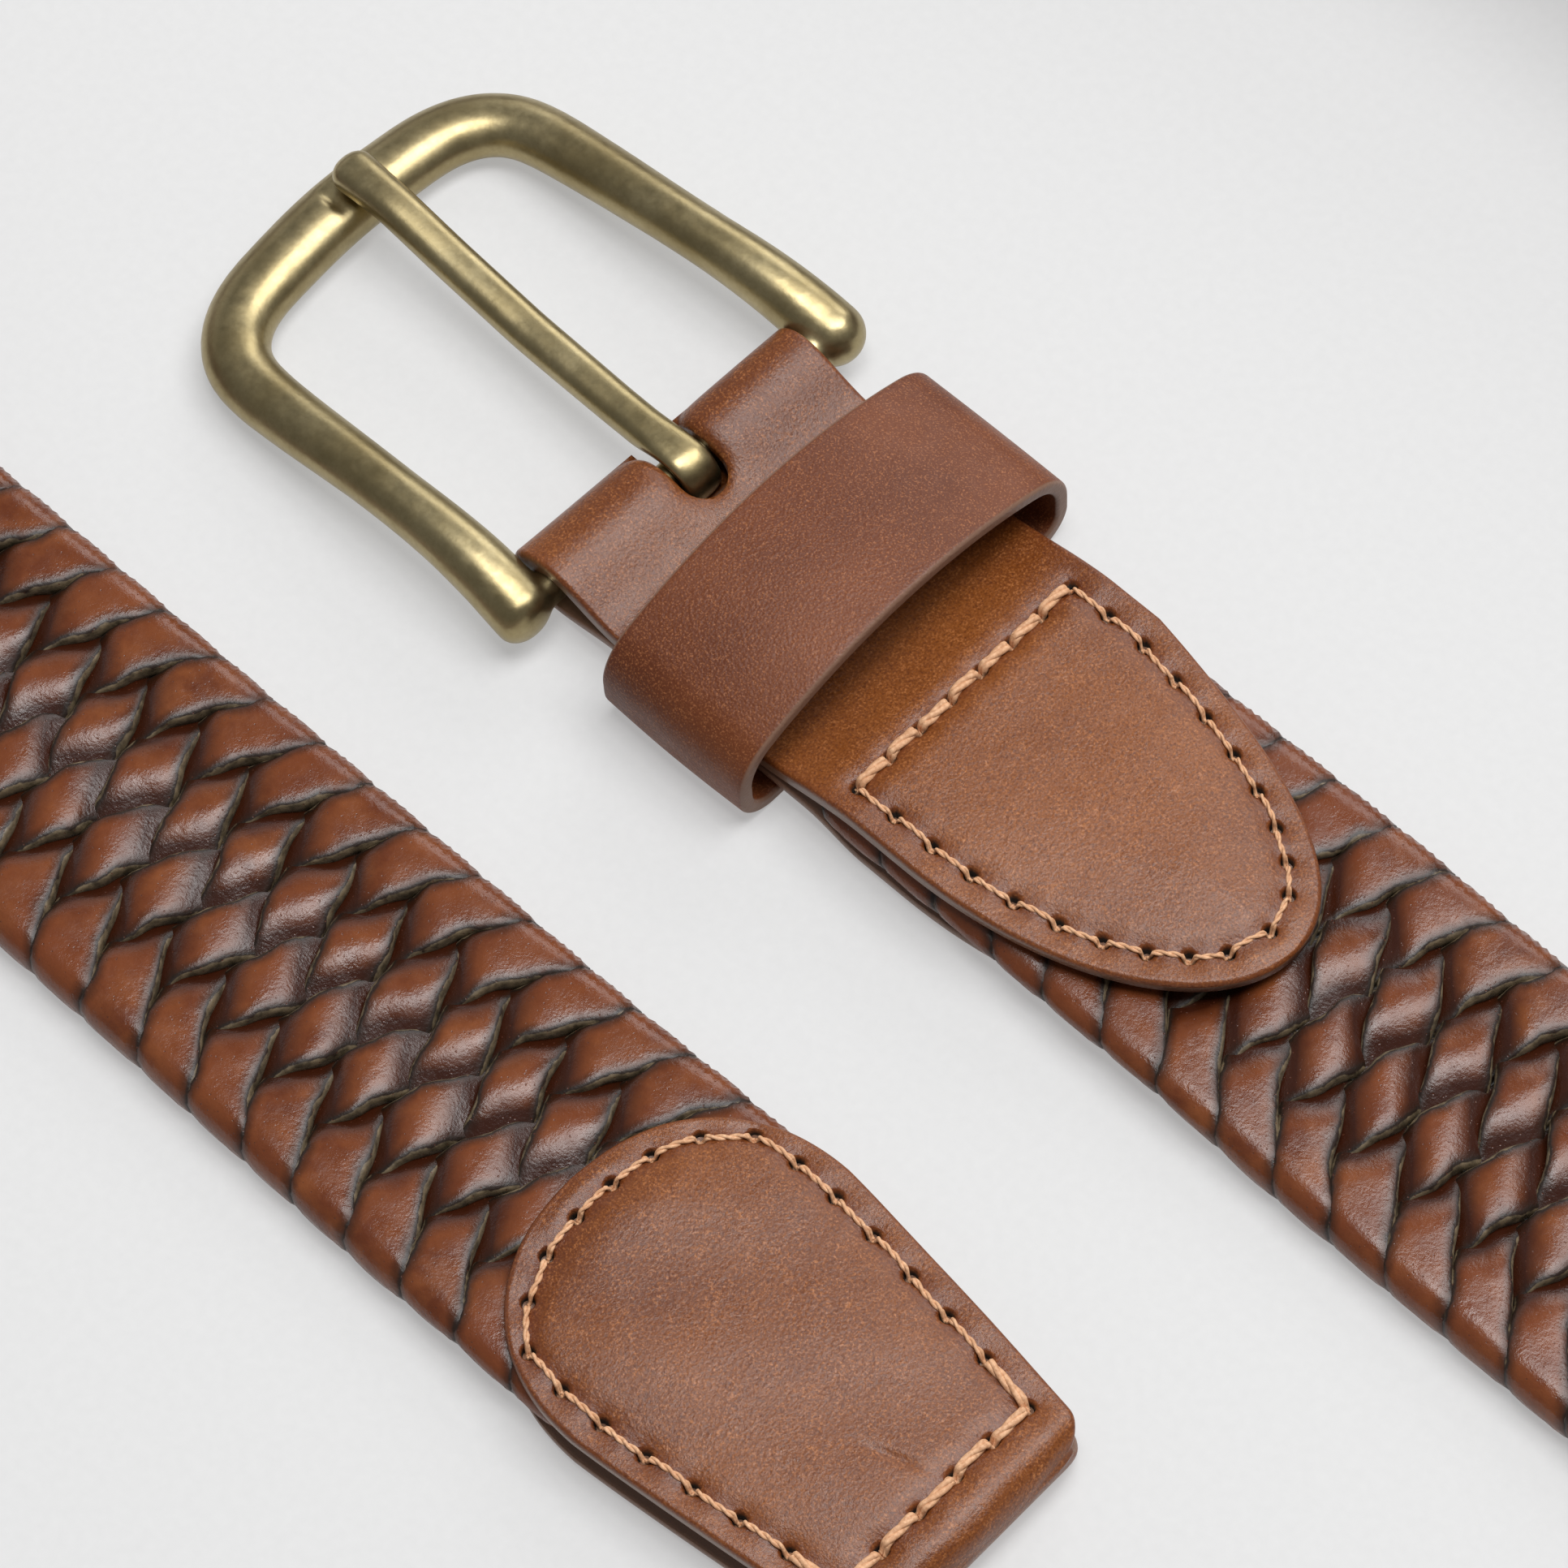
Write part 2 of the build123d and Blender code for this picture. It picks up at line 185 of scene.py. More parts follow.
def strap_frames(s):
    """Origin, across and face directions of the strap at distances s from the bar."""
    s = np.asarray(s, float)
    right = np.clip((s - TURN_IN) / RADIUS_RIGHT, 0, pi)
    left = np.clip((s - LEFT_IN) / RADIUS_LEFT, 0, pi)
    heading = right + left
    back = np.clip(s - TURN_OUT, 0, LEFT_IN - TURN_OUT)
    tip = np.clip(s - LEFT_OUT, 0, None)
    x = np.minimum(s, TURN_IN) + RADIUS_RIGHT * np.sin(right) - back
    x = x - RADIUS_LEFT * np.sin(left) + tip
    y = RADIUS_RIGHT * (1 - np.cos(right)) - RADIUS_LEFT * (1 - np.cos(left))
    onto = blend_step(s, ROLL_START, ROLL_START + ROLL_LENGTH)
    off = blend_step(s, TIP_ROLL_END, TIP_ROLL_END - ROLL_LENGTH)
    roll = pi / 2 * np.minimum(onto, off)
    z = STRAP_WIDTH / 2 * np.sin(roll) + STRAP_THICK / 2 * np.cos(roll)
    side = np.stack([-np.sin(heading), np.cos(heading), 0 * s], -1)
    up = np.zeros_like(side)
    up[:, 2] = 1
    across = side * np.cos(roll)[:, None] + up * np.sin(roll)[:, None]
    face = up * np.cos(roll)[:, None] - side * np.sin(roll)[:, None]
    return np.stack([x, y, z], -1), across, face


SEWN_LOW, SEWN_HIGH, TIP_HIGH = 2.0, 5.2, 5.0
LEG_END = 32.5


def strap_points(s, v, n):
    """Places on or in the strap: s along it, v across it, n out of its face from the middle."""
    origin, across, face = strap_frames(s)
    at_buckle = 1 - blend_step(s, tab_high[0] - 3, tab_high[0] + 14)
    at_tip = blend_step(s, tip_s(tip_tab_low[0] - 9), tip_s(tip_tab_low[0] + 5))
    squeeze = 1 - at_buckle * (1 - (SEWN_HIGH - SEWN_LOW) / STRAP_THICK)
    squeeze = squeeze - at_tip * (1 - (TIP_HIGH - SEWN_LOW) / STRAP_THICK)
    lift = at_buckle * ((SEWN_HIGH + SEWN_LOW) / 2 - STRAP_THICK / 2)
    lift = lift + at_tip * ((TIP_HIGH + SEWN_LOW) / 2 - STRAP_THICK / 2)
    narrow = 1 - 0.27 * blend_step(s, tip_s(54), tip_s(BRAID_END_X))
    return origin + across * (v * narrow)[:, None] + face * (n * squeeze + lift)[:, None]


# ---- the five plaited strands ----
STRANDS = 5
NOTCH_PITCH = 6.8
CROSSING_RUN = STRANDS * NOTCH_PITCH / 2  # along the strap, from one edge to the other
STRAND_WIDTH = 6.0
STRAND_THICK = 2.3
FLATNESS = 0.6  # of the crest of each float
STRAND_LEVEL = (STRAP_THICK - STRAND_THICK) / 2
EDGE_CENTRE = (STRAP_WIDTH - STRAP_THICK) / 2 - 0.1  # where the strap's round edge starts
EDGE_ARC = pi * STRAND_LEVEL
HALF_TRAVEL = EDGE_CENTRE + EDGE_ARC / 2  # from the middle to the edge, along a strand's centre
ROUNDED_PATH = 0.4  # 0 for straight runs from edge to edge, 1 for a sine
CROSSING_STEP = 1 / STRANDS
SKEW = 0.62  # how far a crossing strand turns this one's section aslant
BRAID_PHASE = 2.1
SHEAR = 0.15  # the buckle strand's plait leans by this much
RING = 28
EDGE_POWER = 6.0  # squareness of a strand's edges


def edge_distance(q):
    """How far a strand is from its nearest turn at the strap's edge, q crossings away."""
    return HALF_TRAVEL * ((1 - ROUNDED_PATH) * 2 * np.abs(q) + ROUNDED_PATH * (1 - np.cos(pi * q)))


def strand_level(q):
    """+1 in the outer layer, -1 under a crossing strand."""
    wave = -np.cos(STRANDS * pi * (np.abs(q) - 2 * CROSSING_STEP))
    flat = np.tanh(FLATNESS * wave) / np.tanh(FLATNESS)
    return np.where(np.abs(q) < CROSSING_STEP, 1.0, flat)


def sway(s, number):
    """Small unevenness of hand plaiting, in millimetres along the strap."""
    return 0.22 * np.sin(0.173 * s + 2.1 * number) + 0.16 * np.sin(0.411 * s + 1.3 * number)


def wrap(s, spread, height, side):
    """Flat coordinates of places measured along a strand that turns round one edge."""
    angle = np.clip((spread - EDGE_CENTRE) / STRAND_LEVEL, 0, pi)
    beyond = np.clip(spread - EDGE_CENTRE - EDGE_ARC, 0, None)
    lateral = np.minimum(spread, EDGE_CENTRE) + height * np.sin(angle) - beyond
    return s, lateral * side, height * np.cos(angle)


def strand_section():
    """Flat faces, slightly crowned, with rounded burnished edges."""
    half = np.array([1, 0.985, 0.94, 0.86, 0.7, 0.48, 0.24])
    top = np.concatenate([half, [0.0], -half[::-1]])
    height = np.clip(1 - np.abs(top) ** EDGE_POWER, 0, None) ** (1 / EDGE_POWER)
    height = height * (1 - 0.12 * top**2)
    return np.concatenate([top, top[-2:0:-1]]), np.concatenate([height, -height[-2:0:-1]])


def make_strand(index, start_s, end_s, step=0.45):
    """One flat strand that runs from edge to edge and round both of them."""
    s0 = BRAID_PHASE + index * NOTCH_PITCH
    count = int((end_s - start_s) / step)
    s = np.linspace(start_s, end_s, count)
    p = (s - s0) / CROSSING_RUN
    nearest = np.round(p)
    q = p - nearest
    parity = np.where(nearest % 2 == 1, 1.0, -1.0)
    spread = HALF_TRAVEL + np.sign(q) * edge_distance(q)
    level = strand_level(q)
    # direction in the unrolled plait and the lie of the section across it
    step_q = 1e-3
    rise = (edge_distance(np.abs(q) + step_q) - edge_distance(np.abs(q))) / (step_q * CROSSING_RUN)
    lean = np.arctan(rise)
    skew = SKEW * blend_step(np.abs(q), 0.05, 0.2) / np.tan(2 * lean)
    across, thick = strand_section()
    uneven = 0.03 * np.sin(0.19 * s + 2.3 * index)
    width = STRAND_WIDTH / 2 * (1 + uneven + 0.06 * np.exp(-((q / 0.1) ** 2)))
    offset = across[None, :] * width[:, None]
    along_s = np.sin(lean) + skew * np.cos(lean)
    along_u = -np.cos(lean) + skew * np.sin(lean)
    ring_s = s[:, None] + offset * along_s[:, None]
    ring_u = spread[:, None] + offset * along_u[:, None]
    lift = STRAND_LEVEL * level + 0.05 * np.sin(0.7 * s + 1.7 * index)
    ring_h = lift[:, None] + (STRAND_THICK / 2) * thick[None, :] * parity[:, None]
    side = np.repeat(parity, RING)
    flat_s, v, n = wrap(ring_s.ravel(), ring_u.ravel(), ring_h.ravel(), side)
    flat_s = flat_s + sway(flat_s + 3 * v, 1) - SHEAR * v * (1 - blend_step(flat_s, 130, 260))
    places = strap_points(flat_s, v, n)
    attributes = {
        "edge": np.tile(np.abs(across), count),
        "crest": np.repeat(np.abs(level), RING),
    }
    faces = tube_faces(count, RING)
    return new_object(f"strand_{index + 1}", places, faces, "strap", attributes=attributes)


strands = [make_strand(i, BRAID_START, BRAID_LENGTH - 1.0) for i in range(STRANDS)]
braid_nodes = [n for n in frame["nodes"] if n.startswith("braid_")]
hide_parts(*braid_nodes)


# ---- sheet leather: tabs and keeper ----
LEATHER = 1.6
SEAM_INSET = 3.0
PIT_RADIUS = 0.76
PIT_DEPTH = 1.5
PIT_DRAW = 1.7  # reach of the leather drawn down round a hole
GROOVE_REACH = 1.3
GROOVE_DEPTH, DRAW_DEPTH = 0.28, 0.25
BORDER_ROUND = 0.55  # radius of a cut edge's outer corner
INNER_COLUMNS = 7  # across the unseen inner face


def pit_depth(x, y, holes):
    """Stitch holes and the leather drawn down round them."""
    depth = np.zeros_like(x)
    draw = np.zeros_like(x)
    for hx, hy in holes:
        near = np.hypot(x - hx, y - hy)
        depth = np.maximum(depth, 1 - blend_step(near, PIT_RADIUS * 0.55, PIT_RADIUS))
        draw = np.maximum(draw, np.exp(-((near / PIT_DRAW) ** 2)))
    return depth, draw


def seam_groove(x, y, holes):
    """1 on the line of stitches, falling to 0 within a millimetre or two."""
    ends = list(zip(holes, holes[1:] + holes[:1]))
    near = np.full(x.shape, 99.0)
    for (ax, ay), (bx, by) in ends:
        run_x, run_y = bx - ax, by - ay
        at = np.clip(((x - ax) * run_x + (y - ay) * run_y) / (run_x**2 + run_y**2), 0, 1)
        near = np.minimum(near, np.hypot(x - ax - at * run_x, y - ay - at * run_y))
    return np.exp(-((near / GROOVE_REACH) ** 2))


def folded_tab(
    name, profile, half_width, y_middle, holes, swell, extra=None, fold_lean=0.0, columns=135
):
    """A leather tab folded on itself.

    profile is its outer face seen from the side: rows of x, z, normal x, normal z, on top.
    """
    rows = len(profile)
    crowd = 0.86  # closer columns towards the two borders
    across = np.sin(np.linspace(-pi / 2, pi / 2, columns) * crowd) / sin(pi / 2 * crowd)
    x0, z0, nx, nz, top = (np.repeat(profile[:, i], columns) for i in range(5))
    width = half_width(x0)
    y = np.tile(across, rows) * width
    border = width - np.abs(y)
    slope = np.gradient(half_width(profile[:, 0])) / (np.gradient(profile[:, 0]) + 1e-9)
    slope = np.repeat(np.clip(np.abs(slope), 0, 8), columns)
    border = border / np.sqrt(1 + slope**2)
    depth, draw = pit_depth(x0, y, holes)
    groove = seam_groove(x0, y, holes)
    short = np.clip(BORDER_ROUND - border, 0, BORDER_ROUND)
    rounding = BORDER_ROUND - np.sqrt(np.clip(BORDER_ROUND**2 - short**2, 0, None))
    sink = rounding + top * (GROOVE_DEPTH * groove + DRAW_DEPTH * draw + PIT_DEPTH * depth)
    rise = top * swell(x0, y, border)
    if extra is not None:
        sink = sink + top * extra(x0, y)
    lift = rise - sink
    lean = fold_lean * (y - TAB_HALF) * (1 - blend_step(x0, 2, 12)) * (nx < -0.1)
    outer = np.stack([x0 + nx * lift + lean * -nx, y, z0 + nz * lift], -1)
    xi, zi, nxi, nzi = (np.repeat(profile[:, i], INNER_COLUMNS) for i in range(4))
    yi = np.tile(np.linspace(1, -1, INNER_COLUMNS), rows) * half_width(xi)
    inner = np.stack([xi - nxi * LEATHER, yi, zi - nzi * LEATHER], -1)
    outer = outer.reshape(rows, columns, 3)
    inner = inner.reshape(rows, INNER_COLUMNS, 3)
    points = np.concatenate([outer, inner], 1).reshape(-1, 3)
    if fold_lean:
        points = lopsided(points)
    points[:, 1] += y_middle

    def shaped(values, fill):
        """Values of the outer face's points, with one value for the whole inner face."""
        inside = np.full((rows, INNER_COLUMNS), fill)
        return np.concatenate([values.reshape(rows, columns), inside], 1).ravel()

    attributes = {
        "rim": shaped(np.exp(-border / 0.8), 1.0),
        "pit": shaped(depth, 0.0),
        "groove": shaped(groove * top, 0.0),
        "cut": shaped((border < 0.02) * 1.0, 1.0),
    }
    faces = tube_faces(rows, columns + INNER_COLUMNS)
    return new_object(name, points, faces, "strap", attributes=attributes)


def run_points(start, end, step):
    """Places along a straight stretch of a tab's side view, without its last point."""
    (xa, za), (xb, zb) = start, end
    count = max(2, int(abs(xb - xa) / step))
    t = np.arange(count) / count
    return xa + (xb - xa) * t, za + (zb - za) * smooth_step(t)


def side_profile(stretches):
    """Join stretches of (x, z) into rows of x, z, normal x, normal z, on top."""
    x = np.concatenate([s[0] for s in stretches])
    z = np.concatenate([s[1] for s in stretches])
    dx, dz = np.gradient(x), np.gradient(z)
    length = np.hypot(dx, dz)
    normal_x, normal_z = -dz / length, dx / length
    turned = np.where(normal_z > 0.5, 1.0, 0.0)
    return np.stack([x, z, normal_x, normal_z, turned], -1)


# ---- buckle tab ----
TAB_HALF = (tab_high[1] - tab_low[1]) / 2
TAB_APEX = tab_high[0]
TAB_TOP = tab_high[2]
TAB_NOSE_X = 45.0  # the pointed end's ellipse starts here
TAB_TRIM = 1.4
FOLD_OUTER = -tab_low[0]
LEG_START, LEG_LOW = 9.0, 2.1
RISE_START, RISE_END = 24.0, 39.5  # the upper side rises here to the sewn part
CROSS_SEAM_X = 36.5
SEWN_FOOT = 0.4
SLOT_Y, SLOT_HALF, SLOT_END = 0.4, 2.5, 5.0
CURL_REACH = 3.0  # the slot is shorter on the underside
FOLD_LEAN = 0.04  # the fold sits a little aslant on the bar


def tab_width(x):
    """Half the width of the buckle tab: straight, then an ellipse."""
    nose = np.clip((x - TAB_NOSE_X) / (TAB_APEX - TAB_NOSE_X), 0, 1)
    return TAB_HALF * np.sqrt(1 - nose**2) + 0.02


def tab_seam():
    """Stitch holes: across the tab at the end of the plait, then round its pointed end."""
    cross = [(CROSS_SEAM_X, y) for y in np.linspace(-14.2, 14.2, 8)]
    half = []
    nose = TAB_APEX - TAB_NOSE_X - SEAM_INSET
    wide = TAB_HALF - SEAM_INSET
    for x in (41.2, 45.8, 50.4, 55.0, 59.5, 63.6, 67.3, 70.4, 72.7):
        reach = max(0.0, (x - TAB_NOSE_X) / nose)
        half.append((x, wide * sqrt(1 - reach**2)))
    tip = [(TAB_NOSE_X + nose, 0.0)]
    round_end = half + tip + [(x, -y) for x, y in reversed(half)]
    return cross, round_end


def lopsided(points):
    """The pointed end is cut fuller on its -Y side than on its +Y side."""
    nose = np.clip((points[:, 0] - TAB_NOSE_X) / (TAB_APEX - TAB_NOSE_X), 0, 1)
    trim = TAB_TRIM * 4 * nose * (1 - nose) / tab_width(points[:, 0])
    points[:, 1] *= np.where(points[:, 1] > 0, 1 - trim, 1.0)
    return points


def tab_swell(x, y, border):
    """The sewn part is padded by the plait inside it; the fold is pulled flat."""
    sewn = blend_step(x, CROSS_SEAM_X, CROSS_SEAM_X + 20)
    pad = 0.65 * sewn * blend_step(border, 2.5, 13) - 0.35 * sewn * (1 - blend_step(border, 0, 3.5))
    return pad + 0.08 * np.sin(0.21 * x + 0.15 * y)


def slot_dish(x, y):
    """The leather rolls down into the prong's slot."""
    off = np.hypot(np.clip(x - (SLOT_END - SLOT_HALF), 0, None), y - SLOT_Y) - SLOT_HALF
    return 0.9 * np.exp(-np.clip(off, -1, None) / 0.7) * (x < SLOT_END + 3)


def make_buckle_tab():
    """Round its side view: pointed end, upper leg, fold round the bar, lower leg."""
    top_leg = LEG_LOW + 2 * LEATHER
    angle = np.linspace(pi / 2, 3 * pi / 2, 44)[1:-1]
    fold = (FOLD_OUTER * np.cos(angle), BAR_Z + FOLD_OUTER * np.sin(angle))
    nose = TAB_NOSE_X + (TAB_APEX - TAB_NOSE_X) * np.sin(np.linspace(pi / 2, 0, 150)[:-1])
    level = run_points((TAB_NOSE_X, TAB_TOP), (RISE_END, TAB_TOP), 0.28)
    valley = run_points((RISE_END, TAB_TOP), (RISE_START, top_leg), 0.28)
    flat = run_points((RISE_START, top_leg), (LEG_START, top_leg), 0.4)
    onto_fold = run_points((LEG_START, top_leg), (0, BAR_Z + FOLD_OUTER), 0.4)
    off_fold = run_points((0, BAR_Z - FOLD_OUTER), (LEG_START, LEG_LOW), 1.0)
    under = run_points((LEG_START, LEG_LOW), (LEG_END, LEG_LOW), 2.0)
    drop = run_points((LEG_END, LEG_LOW), (LEG_END + 7, SEWN_FOOT), 1.0)
    under_far = run_points((LEG_END + 7, SEWN_FOOT), (TAB_NOSE_X, SEWN_FOOT), 2.0)
    under_nose = TAB_NOSE_X + (TAB_APEX - TAB_NOSE_X) * np.sin(np.linspace(0, pi / 2, 30))
    profile = side_profile([
        (nose, np.full(nose.size, TAB_TOP)), level, valley, flat, onto_fold, fold, off_fold,
        under, drop, under_far, (under_nose, np.full(under_nose.size, SEWN_FOOT)),
    ])
    profile[:, 2:4] *= -1
    profile[:, 4] = np.where(profile[:, 3] > 0.3, 1.0, 0.0)
    cross, round_end = tab_seam()
    holes = cross + round_end
    return folded_tab(
        "buckle_tab_leather", profile, tab_width, 0.0, holes, tab_swell, slot_dish, FOLD_LEAN
    )


def stadium_cutter(name, x_from, x_to, y, half, low, high):
    """A block with one round end, for cutting a slot."""
    turn = np.linspace(-pi / 2, pi / 2, 17)
    edge = [(x_from, y - half)] + [(x_to - half + half * cos(a), y + half * sin(a)) for a in turn]
    edge.append((x_from, y + half))
    size = len(edge)
    points = [(x, yy, low) for x, yy in edge] + [(x, yy, high) for x, yy in edge]
    faces = [tuple(reversed(range(size))), tuple(range(size, 2 * size))]
    faces += [(i, (i + 1) % size, size + (i + 1) % size, size + i) for i in range(size)]
    return new_object(name, points, faces, "strap", smooth=False)


def cut_away(piece, cutter):
    """Cut this block out of the piece for good."""
    modifier = piece.modifiers.new("slot", "BOOLEAN")
    modifier.operation = "DIFFERENCE"
    modifier.solver = "EXACT"
    modifier.object = cutter
    keep_shape(piece)
    bpy.data.objects.remove(cutter)


buckle_tab = make_buckle_tab()
for cutter, reach, low, high in (
    ("slot_cutter", SLOT_END, BAR_Z - 0.5, 12),
    ("under_cutter", CURL_REACH, -1, BAR_Z - 0.4),
):
    cut_away(buckle_tab, stadium_cutter(cutter, -SLOT_END, reach, SLOT_Y, SLOT_HALF, low, high))
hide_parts("buckle_tab")

# ---- tip tab ----
TIP_HALF = (tip_tab_high[1] - tip_tab_low[1]) / 2
TIP_START, TIP_END = tip_tab_low[0], tip_tab_high[0]
TIP_TOP, TIP_FOOT = tip_tab_high[2], tip_tab_low[2]
TIP_END_HALF = 13.6
TIP_CORNER = 2.5
TIP_FOLD = (TIP_TOP - TIP_FOOT) / 2
ROUND_POWER = 2.25


def tip_width(x):
    """Round inner end, then a gentle taper to the folded end with its rounded corners."""
    back = np.clip((TIP_START + TIP_HALF - x) / TIP_HALF, 0, 1)
    width = TIP_HALF * (1 - back**ROUND_POWER) ** (1 / ROUND_POWER)
    taper = np.clip((x - TIP_START - TIP_HALF) / (TIP_END - TIP_START - TIP_HALF), 0, 1)
    width = width - (TIP_HALF - TIP_END_HALF) * taper**1.15
    corner = np.clip(x - (TIP_END - TIP_CORNER), 0, TIP_CORNER)
    return width - (TIP_CORNER - np.sqrt(TIP_CORNER**2 - corner**2 * 0.97)) + 0.02


def tip_seam():
    """Stitch holes round the tip tab, TIP_Y at its middle."""
    upper = [(53.5, 14.2), (58.2, 14.8), (63.0, 14.7), (67.9, 14.3)]
    upper += [(73.0, 13.7), (78.0, 13.0), (83.2, 12.3)]
    inner = [(47.6, 2.2), (48.2, 6.6), (50.1, 10.8)]
    end = [(89.0, y) for y in (11.5, 6.9, 2.3)]
    half = inner + upper + end
    return half + [(x, -y) for x, y in reversed(half)]


def tip_swell(x, y, border):
    """Padded by the plait, pressed at its border, with one short crease."""
    pad = 0.55 * blend_step(border, 2.5, 11) * blend_step(x, TIP_START, TIP_START + 8)
    askew, along = (-0.33 * (x - 84) + 0.94 * y) / 0.42, (0.94 * (x - 84) + 0.33 * y) / 2.4
    crease = 0.32 * np.exp(-(askew**2) - along**2)
    pressed = 0.35 * (1 - blend_step(border, 0, 3.5))
    return pad - pressed + 0.10 * np.sin(0.3 * x - 0.25 * y) - crease


def make_tip_tab():
    """Round its side view: round inner end, upper side, fold, underside."""
    angle = np.linspace(pi / 2, -pi / 2, 36)[1:-1]
    fold_x, fold_z = TIP_END - TIP_FOLD, (TIP_TOP + TIP_FOOT) / 2
    fold = (fold_x + TIP_FOLD * np.cos(angle), fold_z + TIP_FOLD * np.sin(angle))
    round_part = TIP_START + TIP_HALF - TIP_HALF * np.sin(np.linspace(pi / 2, 0, 110)[:-1])
    top = run_points((TIP_START + TIP_HALF, TIP_TOP), (fold_x, TIP_TOP), 0.28)
    under = run_points((fold_x, TIP_FOOT), (TIP_START + TIP_HALF, TIP_FOOT), 2.0)
    under_round = TIP_START + TIP_HALF - TIP_HALF * np.sin(np.linspace(0, pi / 2, 30))
    profile = side_profile([
        (round_part, np.full(round_part.size, TIP_TOP)), top, fold, under,
        (under_round, np.full(under_round.size, TIP_FOOT)),
    ])
    profile[:, 4] = np.where(profile[:, 3] > 0.3, 1.0, 0.0)
    return folded_tab("tip_tab_leather", profile, tip_width, TIP_Y, tip_seam(), tip_swell)


tip_tab = make_tip_tab()
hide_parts("tip_tab")

# ---- keeper: a band with a domed top, closed underneath ----
KEEPER_Y = (keeper_low[1] + keeper_high[1]) / 2
KEEPER_HALF = (keeper_high[1] - keeper_low[1]) / 2
KEEPER_TOP = keeper_high[2]
KEEPER_SPRING = 9.5
KEEPER_ROUND, KEEPER_FOOT = 6.0, 4.0


def arc_points(centre, radius, start, end, step=0.4):
    """Places on an arc, without its last point."""
    count = max(3, int(abs(end - start) * radius / step))
    turn = np.linspace(start, end, count)[:-1]
    return [(centre[0] + radius * cos(a), centre[1] + radius * sin(a)) for a in turn]


def keeper_path():
    """Middle of the leather, anticlockwise seen from the tab's end, as y and z."""
    drop = KEEPER_TOP - KEEPER_SPRING
    outer = (KEEPER_HALF**2 + drop**2) / (2 * drop)
    dome = outer - LEATHER / 2
    middle_z = KEEPER_TOP - outer
    side = KEEPER_HALF - LEATHER / 2
    turn = KEEPER_ROUND - LEATHER / 2
    shoulder_z = middle_z + sqrt((dome - turn) ** 2 - (side - turn) ** 2)
    lean = atan2(shoulder_z - middle_z, side - turn)
    foot = KEEPER_FOOT - LEATHER / 2
    foot_z = LEATHER / 2 + foot
    right = arc_points((side - foot, foot_z), foot, -pi / 2, 0)
    right += arc_points((side - turn, shoulder_z), turn, 0, lean)
    top = arc_points((0, middle_z), dome, lean, pi - lean)
    left = arc_points((turn - side, shoulder_z), turn, pi - lean, pi)
    left += arc_points((foot - side, foot_z), foot, pi, 3 * pi / 2)
    base = [(y, LEATHER / 2) for y in np.linspace(foot - side, side - foot, 60)[:-1]]
    return np.array(right + top + left + base)


def make_keeper():
    """The band: its section swept along the closed path."""
    path = keeper_path()
    ahead = np.roll(path, -1, 0) - np.roll(path, 1, 0)
    ahead /= np.linalg.norm(ahead, axis=1)[:, None]
    out = np.stack([ahead[:, 1], -ahead[:, 0]], -1)
    start, end = keeper_low[0], keeper_high[0]
    soft = 0.45  # radius of the band's edges
    half, middle = (end - start) / 2, (start + end) / 2
    face = np.linspace(-(half - soft), half - soft, 40)
    corner = np.linspace(pi / 2, 0, 6)[1:]
    edge_x = half - soft + soft * np.cos(corner)
    edge_t = LEATHER / 2 - soft + soft * np.sin(corner)
    ring_x = np.concatenate([face, edge_x, edge_x[::-1], face[::-1], -edge_x, -edge_x[::-1]])
    flat = np.full(face.size, LEATHER / 2)
    ring_t = np.concatenate([flat, edge_t, -edge_t[::-1], -flat, -edge_t, edge_t[::-1]])
    size = ring_x.size
    points = []
    for index, (place, normal) in enumerate(zip(path, out)):
        bow = 0.25 * sin(pi * index / len(path)) * np.cos(ring_x / half * pi / 2)
        y = KEEPER_Y + place[0] + normal[0] * (ring_t + bow)
        z = place[1] + normal[1] * (ring_t + bow)
        points.append(np.stack([middle + ring_x, y, np.maximum(z, 0.0)], -1))
    points = np.concatenate(points)
    rows = len(path)
    i = np.arange(rows)[:, None] * size
    j = np.arange(size)[None, :]
    k, after = (j + 1) % size, (np.arange(rows)[:, None] + 1) % rows * size
    faces = np.stack([i + j, after + j, after + k, i + k], -1).reshape(-1, 4)
    cut = blend_step(np.abs(ring_x), half - 0.5, half - 0.12)
    rim = np.exp(-(half - np.abs(ring_x)) / 0.9)
    attributes = {"cut": np.tile(cut, rows), "rim": np.tile(rim, rows)}
    return new_object("keeper_leather_band", points, faces, "keeper", attributes=attributes)


keeper = make_keeper()
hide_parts("keeper_band")

# ---- buckle frame ----
FRAME_LEAN = 0.02  # the frame hangs a little towards -Y in its fold
NEAR_KNUCKLE_Y, NEAR_KNUCKLE_REACH = -17.6, 0.62


def make_frame():
    """The CAD frame's own surface, hanging askew as it does in its loose fold."""
    shape = frame["nodes"]["buckle_frame"].data
    flat = np.zeros(len(shape.vertices) * 3)
    shape.vertices.foreach_get("co", flat)
    points = (flat.reshape(-1, 3) - BAR_FOOT) / MM
    x, y = points[:, 0].copy(), points[:, 1].copy()
    points[:, 1] += FRAME_LEAN * x * blend_step(-x, 2, 18)
    near = (y < NEAR_KNUCKLE_Y) & (x > 0)
    points[near, 0] *= NEAR_KNUCKLE_REACH
    faces = [tuple(polygon.vertices) for polygon in shape.polygons]
    return softened(new_object("brass_frame", points, faces, "buckle"))


def softened(piece):
    """Rebuild a piece's surface evenly and soften where its parts meet, as in a casting."""
    remesh = piece.modifiers.new("even", "REMESH")
    remesh.mode = "VOXEL"
    remesh.voxel_size = 0.33 * MM
    smooth = piece.modifiers.new("soft", "SMOOTH")
    smooth.factor, smooth.iterations = 0.5, 14
    shaped = keep_shape(piece)
    shaped.polygons.foreach_set("use_smooth", [True] * len(shaped.polygons))
    return piece


brass_frame = make_frame()
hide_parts("buckle_frame")

